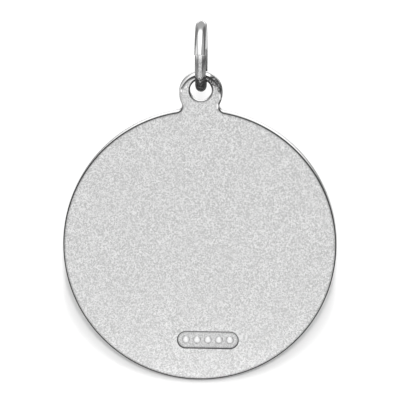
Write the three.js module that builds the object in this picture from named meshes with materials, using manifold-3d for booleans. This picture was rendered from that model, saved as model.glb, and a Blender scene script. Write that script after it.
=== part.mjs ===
// A struck silver religious medal that hangs from a round wire jump ring.
// Millimetres, +Z up. The origin is the point at the top of the ring's inside where a chain bears.
// The medal's plain back faces -Y, and its relief, a rayed cross in a beaded rim, faces +Y.

import * as THREE from "three";
import { mergeVertices } from "three/addons/utils/BufferGeometryUtils.js";
import Module from "manifold-3d";

// Jump ring: round wire bent to a circle in the YZ plane. Its ends meet in a butt seam on the -Y side.
const WIRE_DIAMETER = 1.0;
const RING_OUTER_DIAMETER = 6.5;
const SEAM_GAP = 0.04;
const SEAM_OFFSET = 0.06; // how far the two cut ends miss each other along X
const SEAM_ANGLE = 10; // degrees above the ring's middle

// Disc, with a raised rim round a sunk field on the front.
const DISC_DIAMETER = 25.0;
const RIM_THICKNESS = 1.6;
const FIELD_THICKNESS = 1.0;
const RIM_WIDTH = 0.9;
const RIM_SLOPE = 0.2; // run of the rim's inner wall
const EDGE_ROUND = 0.1; // rounding of the outer edges

// Ear: the round lug, in one piece with the disc, that the ring passes through.
const EAR_DIAMETER = 4.0;
const EAR_THICKNESS = 1.2;
const EAR_RISE = 1.53; // the ear's centre above the disc's top edge
const EAR_ROOT = 1.4; // how deep the ear's plate runs into the disc
const NECK_FILLET = 0.55;
const CREST_ROUND = 0.31; // width worn round at the top of the ear's edge
const CREST_DEPTH = 0.3;
const CREST_SHIFT = 0.16; // the wear fades from the top to the sides by this much

// Hole in the ear. It is the wire's size and its play, and lies nearer the ear's top.
const HOLE_PLAY = 1.0;
const HOLE_LIFT = 0.25; // the hole's centre above the ear's
const HOLE_ROUND = 0.12; // rounding of the hole's two edges
const RING_CLEARANCE = 0.07; // between the ring's inside and the hole's top, at the ear's faces

// Beads round the field's edge.
const BEAD_DIAMETER = 0.76;
const BEAD_PITCH = 1.06;
const BEAD_MARGIN = 0.06; // from the foot of the rim's wall
const BEAD_HEIGHT = 0.34;

// Latin cross with flared ends, its crossing above the disc's centre.
const CROSSING_RISE = 2.0;
const CROSS_TOP = 5.9; // from the crossing
const CROSS_FOOT = 10.4;
const CROSS_ARM = 5.1;
const CROSS_WIDTH = 2.1;
const CROSS_FLARE = 0.6; // how much wider each end is, on each side
const CROSS_HEIGHT = 0.5; // above the field
const CROSS_BEVEL = 0.45; // width of its sloping edge

// Glory: pointed rays that fan out from the crossing, between the cross's arms.
const RAY_REACH = 7.9;
const RAY_WIDTH = 0.8;
const RAY_HEIGHT = 0.22;
const RAYS = [
  { angle: 12, share: 0.66 },
  { angle: 23, share: 0.84 },
  { angle: 34, share: 0.72 },
  { angle: 45, share: 1 },
  { angle: 56, share: 0.72 },
  { angle: 67, share: 0.84 },
  { angle: 78, share: 0.66 },
]; // angle in degrees from the nearest arm, and share of the reach

// Punch on the back: a sunk bar with round ends, and a row of pips left standing in it.
const PUNCH_LENGTH = 5.6;
const PUNCH_WIDTH = 1.6;
const PUNCH_DEPTH = 0.14;
const PUNCH_RISE = 3.72; // its middle above the disc's lower edge
const PUNCH_SIDE = 0.8; // its middle beside the disc's, towards +X
const PIP_DIAMETER = 0.72;
const PIP_COUNT = 5;

// Facets.
const DISC_SEGMENTS = 96;
const EAR_SEGMENTS = 40;
const ROUND_STEPS = 3;
const WIRE_SIDES = 12;
const WIRE_STEPS = 56;
const BEAD_SIDES = 10;
const OVERSHOOT = 1; // how far a cutting tool reaches past what it cuts

const DEGREE = Math.PI / 180;

const discRadius = DISC_DIAMETER / 2;
const fieldRadius = discRadius - RIM_WIDTH - RIM_SLOPE;
const earRadius = EAR_DIAMETER / 2;
const wireRadius = WIRE_DIAMETER / 2;
const holeRadius = (WIRE_DIAMETER + HOLE_PLAY) / 2;
const ringInnerRadius = RING_OUTER_DIAMETER / 2 - WIRE_DIAMETER;
const ringMeanRadius = RING_OUTER_DIAMETER / 2 - wireRadius;

// The medal is drawn about the disc's centre, with the ear's middle plane at y = 0 and the backs flush.
const backY = -EAR_THICKNESS / 2;
const earFrontY = EAR_THICKNESS / 2;
const fieldY = backY + FIELD_THICKNESS;
const rimY = backY + RIM_THICKNESS;
const earZ = discRadius + EAR_RISE;
const holeZ = earZ + HOLE_LIFT;

// Where the pieces hang. The hole's top lies just above the ring's inside at the ear's two faces.
const ringDrop = -ringInnerRadius;
const bearing = Math.sqrt(ringInnerRadius ** 2 - (EAR_THICKNESS / 2) ** 2);
const medalDrop = ringDrop - bearing + RING_CLEARANCE - holeRadius - holeZ;

const wasm = await Module();
wasm.setup();

// A closed three.js geometry as a manifold solid.
function solid(geometry) {
  const bare = new THREE.BufferGeometry();
  bare.setAttribute("position", geometry.getAttribute("position"));
  bare.setIndex(geometry.index);
  const merged = mergeVertices(bare, 1e-5);
  return new wasm.Manifold(
    new wasm.Mesh({
      numProp: 3,
      vertProperties: merged.getAttribute("position").array,
      triVerts: new Uint32Array(merged.index.array),
    }),
  );
}

// A manifold solid as a three.js geometry.
function geometryOf(made) {
  const mesh = made.getMesh();
  const geometry = new THREE.BufferGeometry();
  geometry.setAttribute("position", new THREE.BufferAttribute(mesh.vertProperties, 3));
  geometry.setIndex(new THREE.BufferAttribute(mesh.triVerts, 1));
  geometry.computeVertexNormals();
  return geometry;
}

// A flat shape, drawn as x and z, as a plate from y = low to y = high with rounded edges.
function plate(shape, low, high, round = 0, curveSegments = 6) {
  const geometry = new THREE.ExtrudeGeometry(shape, {
    depth: high - low - 2 * round,
    bevelEnabled: round > 0,
    bevelThickness: round,
    bevelSize: round,
    bevelOffset: -round,
    bevelSegments: 2,
    curveSegments,
  });
  geometry.rotateX(Math.PI / 2);
  geometry.translate(0, high - round, 0);
  return solid(geometry);
}

// A profile of [radius, y] pairs turned about the line through (0, z) along Y.
function turned(profile, z, segments) {
  const points = profile.map(([radius, y]) => new THREE.Vector2(radius, y));
  return solid(new THREE.LatheGeometry(points, segments).translate(0, 0, z));
}

// A quarter round as [radius, y] pairs, from a flat at (radius, y) to a wall that far along and up.
function quarterRound(radius, y, along, up) {
  const points = [];
  for (let step = 0; step <= ROUND_STEPS; step++) {
    const angle = (step / ROUND_STEPS) * 90 * DEGREE;
    points.push([radius + along * Math.sin(angle), y + up * (1 - Math.cos(angle))]);
  }
  return points;
}

function disc() {
  const flat = discRadius - EDGE_ROUND;
  const profile = [
    [0, backY],
    ...quarterRound(flat, backY, EDGE_ROUND, EDGE_ROUND),
    ...quarterRound(flat, rimY, EDGE_ROUND, -EDGE_ROUND).reverse(),
    [discRadius - RIM_WIDTH, rimY],
    [fieldRadius, fieldY],
    [0, fieldY],
  ];
  return turned(profile, 0, DISC_SEGMENTS);
}

// The hollow over the field, which also clears the root of the ear's plate.
function recess() {
  const profile = [
    [0, fieldY],
    [fieldRadius, fieldY],
    [discRadius - RIM_WIDTH, rimY],
    [discRadius - RIM_WIDTH, rimY + OVERSHOOT],
    [0, rimY + OVERSHOOT],
  ];
  return turned(profile, 0, DISC_SEGMENTS);
}

// The ear's outline: a circle that runs into the disc's edge through a fillet on each side.
function earShape() {
  const toDisc = discRadius + NECK_FILLET;
  const toEar = earRadius + NECK_FILLET;
  const filletZ = (toDisc ** 2 - toEar ** 2 + earZ ** 2) / (2 * earZ);
  const filletX = Math.sqrt(toDisc ** 2 - filletZ ** 2);
  const low = Math.atan2(filletZ, filletX); // where the fillet meets the disc
  const high = Math.atan2(earZ - filletZ, filletX); // and the ear
  const rootX = discRadius * Math.cos(low);
  const rootZ = discRadius - EAR_ROOT;
  const shape = new THREE.Shape();
  shape.absarc(filletX, filletZ, NECK_FILLET, Math.PI + low, Math.PI - high, true);
  shape.absarc(0, earZ, earRadius, -high, Math.PI + high, false);
  shape.absarc(-filletX, filletZ, NECK_FILLET, high, -low, true);
  shape.lineTo(-rootX, rootZ);
  shape.lineTo(rootX, rootZ);
  return shape;
}

// What wear has taken off the edge of the ear's front: most at the top, fading out at the neck.
function crestWear() {
  const inner = earRadius + CREST_SHIFT - CREST_ROUND;
  const far = earRadius + OVERSHOOT;
  const tool = turned(
    [
      ...quarterRound(inner, earFrontY, CREST_ROUND, -CREST_DEPTH),
      [far, earFrontY - CREST_DEPTH],
      [far, earFrontY + OVERSHOOT],
      [inner, earFrontY + OVERSHOOT],
      [inner, earFrontY],
    ],
    earZ - CREST_SHIFT,
    EAR_SEGMENTS,
  );
  return tool.trimByPlane([0, 0, 1], earZ - earRadius * Math.sin(30 * DEGREE));
}

function holeCutter() {
  const flat = holeRadius + HOLE_ROUND;
  return turned(
    [
      [0, backY - OVERSHOOT],
      [flat, backY - OVERSHOOT],
      ...quarterRound(flat, backY, -HOLE_ROUND, HOLE_ROUND),
      ...quarterRound(flat, earFrontY, -HOLE_ROUND, -HOLE_ROUND).reverse(),
      [flat, earFrontY + OVERSHOOT],
      [0, earFrontY + OVERSHOOT],
    ],
    holeZ,
    EAR_SEGMENTS,
  );
}

// The cross, with sloping edges and its root sunk in the field.
function cross() {
  const half = CROSS_WIDTH / 2;
  const end = half + CROSS_FLARE;
  const corners = [
    [half, half],
    [end, CROSS_TOP],
    [-end, CROSS_TOP],
    [-half, half],
    [-CROSS_ARM, end],
    [-CROSS_ARM, -end],
    [-half, -half],
    [-end, -CROSS_FOOT],
    [end, -CROSS_FOOT],
    [half, -half],
    [CROSS_ARM, -end],
    [CROSS_ARM, end],
  ];
  const shape = new THREE.Shape(corners.map(([x, z]) => new THREE.Vector2(x, z)));
  const root = FIELD_THICKNESS / 2;
  const geometry = new THREE.ExtrudeGeometry(shape, {
    depth: root,
    bevelEnabled: true,
    bevelThickness: CROSS_HEIGHT,
    bevelSize: CROSS_BEVEL,
    bevelOffset: -CROSS_BEVEL,
    bevelSegments: 1,
  });
  geometry.rotateX(Math.PI / 2);
  geometry.translate(0, fieldY, CROSSING_RISE);
  return solid(geometry).trimByPlane([0, 1, 0], fieldY - root);
}

// One ray: a long four-sided spindle, half sunk in the field, from the crossing outwards.
function ray(angle, length) {
  const geometry = new THREE.OctahedronGeometry(1);
  geometry.scale(length / 2, RAY_HEIGHT, RAY_WIDTH / 2);
  geometry.translate(length / 2, 0, 0);
  geometry.rotateY(angle);
  geometry.translate(0, fieldY, CROSSING_RISE);
  return solid(geometry);
}

// The rays in the four quarters between the cross's arms.
function rays() {
  const made = [];
  for (const quarter of [0, 90, 180, 270]) {
    for (const { angle, share } of RAYS) {
      made.push(ray((quarter + angle) * DEGREE, share * RAY_REACH));
    }
  }
  return wasm.Manifold.union(made);
}

// A string of domes round the field's edge, evenly spaced.
function beads() {
  const radius = BEAD_DIAMETER / 2;
  const pitchRadius = fieldRadius - BEAD_MARGIN - radius;
  const count = Math.round((2 * Math.PI * pitchRadius) / BEAD_PITCH);
  const sunk = BEAD_HEIGHT / 4;
  const dome = new THREE.SphereGeometry(radius, BEAD_SIDES, 4);
  dome.scale(1, (BEAD_HEIGHT + sunk) / radius, 1);
  const one = solid(dome);
  const made = [];
  for (let index = 0; index < count; index++) {
    const angle = ((index + 0.5) / count) * 2 * Math.PI;
    const x = pitchRadius * Math.sin(angle);
    const z = pitchRadius * Math.cos(angle);
    made.push(one.translate([x, fieldY - sunk, z]));
  }
  return wasm.Manifold.union(made);
}

// The punch's cutting tool: a bar less the pips that it leaves.
function punch() {
  const middleZ = PUNCH_RISE - discRadius;
  const end = PUNCH_WIDTH / 2;
  const reach = PUNCH_LENGTH / 2 - end;
  const shape = new THREE.Shape();
  shape.absarc(PUNCH_SIDE - reach, middleZ, end, 90 * DEGREE, 270 * DEGREE, false);
  shape.absarc(PUNCH_SIDE + reach, middleZ, end, -90 * DEGREE, 90 * DEGREE, false);
  const pips = [];
  for (let index = 0; index < PIP_COUNT; index++) {
    const x = PUNCH_SIDE + reach * ((2 * index) / (PIP_COUNT - 1) - 1);
    const pip = new THREE.SphereGeometry(PIP_DIAMETER / 2, BEAD_SIDES, 6);
    pip.scale(1, (2 * PUNCH_DEPTH) / PIP_DIAMETER, 1);
    pip.translate(x, backY + PUNCH_DEPTH, middleZ);
    pips.push(solid(pip));
  }
  const bar = plate(shape, backY - OVERSHOOT, backY + PUNCH_DEPTH, 0, 5);
  return bar.subtract(wasm.Manifold.union(pips));
}

function medalGeometry() {
  const ear = plate(earShape(), backY, earFrontY, EDGE_ROUND, EAR_SEGMENTS / 4);
  const blank = disc().add(ear).subtract(recess());
  const wear = crestWear();
  const tools = [holeCutter(), wear, wear.mirror([0, 1, 0]), punch()];
  const relief = wasm.Manifold.union([cross(), rays(), beads()]);
  return geometryOf(blank.subtract(wasm.Manifold.union(tools)).add(relief));
}

// The wire's centre line about the ring's centre: once round from the seam, down through the ear.
class WireLoop extends THREE.Curve {
  getPoint(share, target = new THREE.Vector3()) {
    const gapAngle = SEAM_GAP / ringMeanRadius;
    const angle = gapAngle / 2 + share * (2 * Math.PI - gapAngle) - SEAM_ANGLE * DEGREE;
    return target.set(
      SEAM_OFFSET * (0.5 - share),
      -ringMeanRadius * Math.cos(angle),
      -ringMeanRadius * Math.sin(angle),
    );
  }
}

function ringGeometry() {
  const section = new THREE.Shape().absarc(0, 0, wireRadius, 0, 2 * Math.PI, false);
  return new THREE.ExtrudeGeometry(section, {
    steps: WIRE_STEPS,
    curveSegments: WIRE_SIDES / 2,
    extrudePath: new WireLoop(),
  });
}

const satinSilver = new THREE.MeshStandardMaterial({ color: 0xd4d4d4, roughness: 0.45, metalness: 1 });
const brightSilver = new THREE.MeshStandardMaterial({ color: 0xe2e2e2, roughness: 0.14, metalness: 1 });

const medal = new THREE.Mesh(medalGeometry(), satinSilver);
medal.name = "medal";
medal.position.z = medalDrop;

const jumpRing = new THREE.Mesh(ringGeometry(), brightSilver);
jumpRing.name = "jump_ring";
jumpRing.position.z = ringDrop;

const pendant = new THREE.Group();
pendant.add(jumpRing, medal);

export default pendant;
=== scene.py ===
"""Dresses a struck silver medal that hangs from a round wire jump ring.

Metres, +Z up. The chain bears at the origin, inside the top of the ring. The medal's plain satin
back faces -Y, towards the camera, and its relief front faces +Y. The medal is drawn about its disc's
centre, in the frame's X and Z, with depths along Y.
"""

import math

import bmesh
import bpy
from bpy.props import FloatProperty, FloatVectorProperty, IntProperty, PointerProperty
from mathutils import Matrix, Vector
from mathutils.bvhtree import BVHTree


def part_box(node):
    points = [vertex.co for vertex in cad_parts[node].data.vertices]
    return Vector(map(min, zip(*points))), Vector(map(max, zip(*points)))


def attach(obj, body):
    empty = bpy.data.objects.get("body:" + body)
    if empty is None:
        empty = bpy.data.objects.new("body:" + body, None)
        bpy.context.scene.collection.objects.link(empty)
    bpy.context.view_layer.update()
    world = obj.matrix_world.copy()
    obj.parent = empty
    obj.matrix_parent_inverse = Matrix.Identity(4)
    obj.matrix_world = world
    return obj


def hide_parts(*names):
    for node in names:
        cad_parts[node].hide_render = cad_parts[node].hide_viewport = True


bl_info = {
    "name": "Silver medal pendant",
    "version": (1, 0, 0),
    "blender": (4, 5, 0),
    "location": "View3D > Sidebar > Pendant",
    "description": "Dresses a struck silver medal with a satin back, and its jump ring",
    "category": "Object",
}

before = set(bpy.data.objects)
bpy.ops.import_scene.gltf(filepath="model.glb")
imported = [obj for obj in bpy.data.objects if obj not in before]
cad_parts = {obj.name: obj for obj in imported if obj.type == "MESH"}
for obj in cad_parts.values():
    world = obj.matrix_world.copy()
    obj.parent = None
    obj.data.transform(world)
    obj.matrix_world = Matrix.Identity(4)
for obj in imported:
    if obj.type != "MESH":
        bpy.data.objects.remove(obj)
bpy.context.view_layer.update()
MEDAL_LOW, MEDAL_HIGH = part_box("medal")
RING_LOW, RING_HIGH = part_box("jump_ring")

MM = 0.001
DEGREE = math.pi / 180

# Places that the frame gives.
DISC_RADIUS = (MEDAL_HIGH.x - MEDAL_LOW.x) / 2
DISC_Z = MEDAL_LOW.z + DISC_RADIUS
BACK_Y = MEDAL_LOW.y
RIM_Y = MEDAL_HIGH.y
EAR_FRONT_Y = -BACK_Y
EAR_TOP_Z = MEDAL_HIGH.z - DISC_Z
RING_RADIUS = (RING_HIGH.z - RING_LOW.z) / 2
RING_Z = (RING_HIGH.z + RING_LOW.z) / 2

# How finely the shapes are cut.
DISC_STEPS = 360
EAR_STEPS = 120
FILLET_STEPS = 18
ROOT_STEPS = 40
HOLE_STEPS = 96
ROUND_STEPS = 6
PUNCH_END_STEPS = 16
WIRE_SIDES = 40
WIRE_STEPS = 260


# ---- Sizes and colours that a user would change ----


def length(name, description, millimetres):
    return FloatProperty(name=name, description=description, default=millimetres * MM, unit="LENGTH")


def grey(name, description, value):
    return FloatVectorProperty(
        name=name, description=description, default=(value,) * 3, subtype="COLOR", min=0, max=1
    )


class MedalSizes(bpy.types.PropertyGroup):
    """The struck disc and its ear"""

    ear_radius: length("Ear radius", "Outer radius of the round ear", 2.0)
    neck_fillet: length("Neck fillet", "Radius where the ear runs into the disc", 0.55)
    hole_radius: length("Hole radius", "Radius of the ear's hole", 1.0)
    hole_lift: length("Hole lift", "Height of the hole's centre above the ear's", 0.25)
    hole_round: length("Hole rounding", "Rounding of the hole's two edges", 0.09)
    edge_round: length("Edge rounding", "Rounding of the outer edges", 0.1)
    crest_round: length("Crest wear, width", "Width worn round at the top of the ear", 0.31)
    crest_depth: length("Crest wear, depth", "Depth worn round at the top of the ear", 0.3)
    crest_shift: length("Crest wear, shift", "How fast the wear fades towards the ear's sides", 0.16)
    field_thickness: length("Field thickness", "Metal left behind the sunk field", 1.0)
    rim_width: length("Rim width", "Width of the rim's top", 0.9)
    rim_slope: length("Rim slope", "Run of the rim's inner wall", 0.2)
    edge_crown: length("Edge crown", "How far the middle of the outer edge stands out", 0.03)


class ReliefSizes(bpy.types.PropertyGroup):
    """The front's relief and the back's punch"""

    crossing_rise: length("Crossing rise", "Height of the cross's crossing above the disc's centre", 2.0)
    cross_top: length("Cross top", "From the crossing to the top", 5.9)
    cross_foot: length("Cross foot", "From the crossing to the foot", 10.4)
    cross_arm: length("Cross arm", "From the crossing to the end of an arm", 5.1)
    cross_width: length("Cross width", "Width of the arms at the crossing", 2.1)
    cross_flare: length("Cross flare", "How much each arm widens on each side", 0.6)
    cross_height: length("Cross height", "Height above the field", 0.5)
    cross_bevel: length("Cross bevel", "Width of the sloping edge", 0.45)
    ray_reach: length("Ray reach", "Length of the longest ray", 7.9)
    ray_width: length("Ray width", "Width of a ray at its middle", 0.8)
    ray_height: length("Ray height", "Height of a ray above the field", 0.22)
    bead_diameter: length("Bead diameter", "Width of one bead", 0.76)
    bead_pitch: length("Bead pitch", "From one bead to the next", 1.06)
    bead_margin: length("Bead margin", "From the rim's foot to the beads", 0.06)
    bead_height: length("Bead height", "Height of a bead above the field", 0.34)
    punch_length: length("Punch length", "Length of the sunk bar on the back", 5.6)
    punch_width: length("Punch width", "Width of the sunk bar on the back", 1.6)
    punch_depth: length("Punch depth", "Depth of the sunk bar on the back", 0.14)
    punch_rise: length("Punch rise", "Height of the bar's middle above the disc's lower edge", 3.72)
    punch_side: length("Punch side", "Distance of the bar's middle beside the disc's", 0.8)
    pip_diameter: length("Pip diameter", "Width of one pip in the bar", 0.72)
    pip_count: IntProperty(
        name="Pips",
        description="Number of pips in the bar",
        default=5,
        min=2,
    )


class RingSizes(bpy.types.PropertyGroup):
    """The jump ring"""

    wire_diameter: length("Wire diameter", "Thickness of the round wire", 1.0)
    seam_gap: length("Seam gap", "Gap between the wire's two ends", 0.04)
    seam_offset: length("Seam offset", "How far the two ends miss each other sideways", 0.06)
    seam_angle: FloatProperty(
        name="Seam angle",
        description="Height of the seam above the ring's middle",
        default=10 * DEGREE,
        subtype="ANGLE",
    )


class FinishColours(bpy.types.PropertyGroup):
    """Colours of the silver's finishes"""

    satin: grey("Satin", "Sandblasted silver", 0.758)
    polished: grey("Polished", "Bright polished silver", 0.93)
    # This colour also paints the dark edge lines and the painted shade.
    tarnish: grey("Tarnish", "Dark silver sulphide in the corners", 0.035)
    floor: grey("Floor", "Pale floor below the pendant", 0.5)


def sizes():
    return bpy.context.scene.pendant_medal


def relief():
    return bpy.context.scene.pendant_relief


def ring_sizes():
    return bpy.context.scene.pendant_ring


def colours():
    return bpy.context.scene.pendant_colours


def ear_z():
    """Height of the ear's centre above the disc's."""
    return EAR_TOP_Z - sizes().ear_radius


def hole_z():
    return ear_z() + sizes().hole_lift


def field_y():
    return BACK_Y + sizes().field_thickness


def field_radius():
    return DISC_RADIUS - sizes().rim_width - sizes().rim_slope


# ---- Finishes ----

NOISE_RANGE = (0.3, 0.7)  # most of a noise's values lie between these


class Nodes:
    """A node tree, with short calls for what the materials, the studio and the grown pieces share."""

    def __init__(self, tree):
        self.tree = tree

    def feed(self, value, socket):
        """Links a socket, or sets a plain value."""
        if isinstance(value, bpy.types.NodeSocket):
            self.tree.links.new(value, socket)
        else:
            socket.default_value = value

    def node(self, kind, inputs=None, **settings):
        """A new node with its settings, and its inputs linked or set."""
        made = self.tree.nodes.new(kind)
        for key, value in settings.items():
            setattr(made, key, value)
        for key, value in (inputs or {}).items():
            self.feed(value, made.inputs[key])
        return made

    def maths(self, operation, first, second=0.0):
        return self.node("ShaderNodeMath", {0: first, 1: second}, operation=operation).outputs[0]

    def plus(self, first, second):
        return self.maths("ADD", first, second)

    def minus(self, first, second):
        return self.maths("SUBTRACT", first, second)

    def times(self, first, second):
        return self.maths("MULTIPLY", first, second)

    def over(self, first, second):
        return self.maths("DIVIDE", first, second)

    def larger(self, first, second):
        return self.maths("MAXIMUM", first, second)

    def ramp(self, value, low, high, start=0.0, end=1.0):
        """A smooth step from the start to the end, as the value goes from low to high."""
        fed = {"Value": value, "From Min": low, "From Max": high, "To Min": start, "To Max": end}
        return self.node("ShaderNodeMapRange", fed, interpolation_type="SMOOTHSTEP").outputs["Result"]


class Finish(Nodes):
    """One material, with a Principled shader and the object's own coordinates."""

    def __init__(self, name):
        self.material = bpy.data.materials.new(name)
        self.material.use_nodes = True
        super().__init__(self.material.node_tree)
        self.tree.nodes.clear()
        self.shader = self.node("ShaderNodeBsdfPrincipled")
        self.node("ShaderNodeOutputMaterial", {"Surface": self.shader.outputs["BSDF"]})
        self.place = self.node("ShaderNodeTexCoord").outputs["Object"]

    def mix(self, share, first, second):
        """A colour between two others."""
        fed = {"Factor": share, "A": first, "B": second}
        return self.node("ShaderNodeMix", fed, data_type="RGBA").outputs["Result"]

    def noise(self, grain, detail=2.0, roughness=0.5, stretch=(1, 1, 1)):
        """Noise whose features are about one grain across, in metres."""
        place = self.node("ShaderNodeMapping", {"Scale": stretch, "Vector": self.place}).outputs["Vector"]
        fed = {"Scale": 1 / grain, "Detail": detail, "Roughness": roughness, "Vector": place}
        return self.node("ShaderNodeTexNoise", fed).outputs["Fac"]

    def vary(self, noise, start=0.0, end=1.0):
        """A value from start to end, as the noise goes through most of its range."""
        return self.ramp(noise, *NOISE_RANGE, start, end)

    def attribute(self, name):
        return self.node("ShaderNodeAttribute", attribute_name=name).outputs["Fac"]

    def coordinates(self, centre):
        """X, Y and Z about a point, in millimetres."""
        fed = {"Location": -Vector(centre) / MM, "Scale": (1 / MM,) * 3, "Vector": self.place}
        place = self.node("ShaderNodeMapping", fed).outputs["Vector"]
        return self.node("ShaderNodeSeparateXYZ", {"Vector": place}).outputs

    def distance(self, across, up):
        return self.maths("SQRT", self.plus(self.times(across, across), self.times(up, up)))

    def metal(self, tone, roughness):
        """Gives the shader its colour and roughness, and makes it metal."""
        self.feed(tone, self.shader.inputs["Base Color"])
        self.feed(roughness, self.shader.inputs["Roughness"])
        self.shader.inputs["Metallic"].default_value = 1.0

    def bump(self, height, depth, strength):
        """Relief too fine for the mesh, with its depth in metres."""
        made = self.node("ShaderNodeBump", {"Strength": strength, "Distance": depth, "Height": height})
        self.feed(made.outputs["Normal"], self.shader.inputs["Normal"])


def colour(value):
    return (*value, 1.0)


SATIN_GRAIN = 0.11 * MM
GRAIN_DARK, GRAIN_BRIGHT = 0.69, 1.15  # the grain's tones, as shares of the satin's colour
SATIN_ROUGH, POLISHED_ROUGH = 0.5, 0.16
TARNISH_REACH = (1.14, 1.26)  # soft inner edge, in millimetres from the hole's centre
TARNISH_EARLY = (-0.02, 0.5)  # soft lower and upper edges, as angles from three o'clock
TARNISH_LATE = (0.95, 1.15)
BRIGHT_SPOTS = (  # bright polished spots, partly rubbed wear and partly painted highlights: x and height from the hole's centre, half width, half height
    (1.54, -1.42, 0.09, 0.24),
    (-1.76, -0.03, 0.08, 0.14),
    (-1.33, 0.34, 0.07, 0.1),
    (1.75, -0.55, 0.06, 0.3),
)


def ear_tarnish(made, place, flat):
    """Speckled tarnish between the hole and the worn crest, at one to three o'clock."""
    ragged = made.noise(0.55 * MM, detail=3, roughness=0.6)
    reach = made.plus(made.distance(place["X"], place["Z"]), made.vary(ragged, -0.15, 0.15))
    hour = made.maths("ARCTAN2", place["Z"], place["X"])
    wider = made.ramp(reach, 1.45, 1.75, 0, 0.4)
    early = made.ramp(made.plus(hour, wider), *TARNISH_EARLY)
    late = made.ramp(hour, *TARNISH_LATE, 1, 0)
    patch = made.times(made.times(made.ramp(reach, *TARNISH_REACH), flat), made.times(early, late))
    speckle = made.ramp(made.noise(0.14 * MM, detail=2.5, roughness=0.7), 0.48, 0.63, 1, 0.3)
    return made.times(patch, speckle)


def bright_spots(made, place, flat):
    """Bright polished spots just inside the ear's edge: partly rubbed wear, partly painted highlights on
    the edge.
    """
    rubbed = 0.0
    for x, z, wide, high in BRIGHT_SPOTS:
        across = made.over(made.minus(place["X"], x), wide)
        up = made.over(made.minus(place["Z"], z), high)
        spot = made.ramp(made.distance(across, up), 0.8, 1.2, 1, 0)
        rubbed = made.larger(rubbed, made.times(spot, flat))
    return rubbed


def blank_silver():
    """The struck blank: sandblasted flats, polished edges, tarnish where no cloth reaches, painted dark
    lines and painted shade, and bright spots that are partly painted highlights.
    """
    made = Finish("blank_silver")
    satin = Vector(colours().satin)
    grain = made.noise(SATIN_GRAIN, detail=1.0)
    coarse = made.noise(0.4 * MM, detail=2)
    cloud = made.noise(4.5 * MM, detail=2)
    lines = made.noise(0.05 * MM, detail=2, stretch=(0.02, 1, 0.02))  # drawn round the polished wall
    place = made.coordinates((0, BACK_Y, DISC_Z + hole_z()))
    flat = made.ramp(place["Y"], 0.05, 0.2, 1, 0)  # 1 on the back, 0 deeper in
    patch = ear_tarnish(made, place, flat)
    # The bright spots: partly rubbed wear, partly painted highlights.
    rubbed = bright_spots(made, place, flat)
    polish = made.larger(made.attribute("polish"), rubbed)

    tone = made.mix(made.vary(grain), colour(satin * GRAIN_DARK), colour(satin * GRAIN_BRIGHT))
    tone = made.mix(made.ramp(coarse, 0.35, 0.65, 0, 0.26), tone, colour(satin * 0.78))
    tone = made.mix(made.vary(cloud, 0, 0.15), tone, colour(satin * 0.85))
    tone = made.mix(polish, tone, colour(colours().polished))
    # The black is tarnish, painted dark lines and painted shade, taken away on the bright spots.
    stain_and_shade = made.larger(made.attribute("oxide"), made.times(patch, 0.95))
    dark = made.times(made.larger(made.attribute("burr"), stain_and_shade), made.minus(1.0, rubbed))
    tone = made.mix(dark, tone, colour(colours().tarnish))
    rough = made.ramp(polish, 0, 1, SATIN_ROUGH, POLISHED_ROUGH)
    made.metal(tone, made.larger(rough, made.times(dark, 0.6)))
    sand = made.times(grain, made.minus(1.0, polish))
    drawn = made.times(lines, made.times(polish, 0.12))
    made.bump(made.plus(sand, drawn), 0.02 * MM, 0.6)
    return made.material


def field_silver():
    """Fine matte ground behind the relief, with tarnish in its corners."""
    made = Finish("field_silver")
    satin = Vector(colours().satin)
    grain = made.noise(0.09 * MM, detail=2)
    cloud = made.noise(1.5 * MM, detail=3)
    tone = made.mix(made.vary(grain), colour(satin * 0.5), colour(satin * 0.85))
    tone = made.mix(made.vary(cloud, 0, 0.3), tone, colour(satin * 0.5))
    ragged = made.times(made.attribute("oxide"), made.vary(grain, 0.75, 1.15))
    made.metal(made.mix(ragged, tone, colour(colours().tarnish)), SATIN_ROUGH)
    made.bump(grain, 0.02 * MM, 0.5)
    return made.material


def relief_silver():
    """Polished relief, softly uneven from the die, and dark at its foot."""
    made = Finish("relief_silver")
    polished = Vector(colours().polished)
    wave = made.noise(0.7 * MM, detail=2)
    fine = made.noise(0.06 * MM, detail=2)
    height = made.coordinates((0, field_y(), 0))["Y"]
    foot = made.ramp(height, 0.0, 0.12, 0.8, 0)
    tone = made.mix(made.vary(fine), colour(polished * 0.88), colour(polished))
    made.metal(made.mix(foot, tone, colour(colours().tarnish)), made.vary(wave, 0.14, 0.26))
    made.bump(wave, 0.03 * MM, 0.25)
    return made.material


def pip_silver():
    """Satin silver with its crests rubbed bright."""
    made = Finish("pip_silver")
    place = made.coordinates((0, BACK_Y, 0))
    rubbed = made.ramp(place["Y"], 0.01, 0.07, 1, 0)
    grain = made.noise(SATIN_GRAIN, detail=2)
    satin = Vector(colours().satin)
    tone = made.mix(made.vary(grain), colour(satin * 0.7), colour(satin))
    made.metal(made.mix(rubbed, tone, colour(satin * 1.15)), made.ramp(rubbed, 0, 1, SATIN_ROUGH, 0.42))
    made.bump(grain, 0.02 * MM, 0.5)
    return made.material


WIRE_DARKENED = (-0.6, 0.2)  # soft top of the darkened part, in millimetres from the seam's height
WIRE_NEAR = (-1.6, -1.2)  # and its soft end away from the camera, in millimetres along Y
WIRE_FOOT_BLACK = (-0.63, -0.49)  # soft top of the black foot, as shares of the ring's radius


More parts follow.
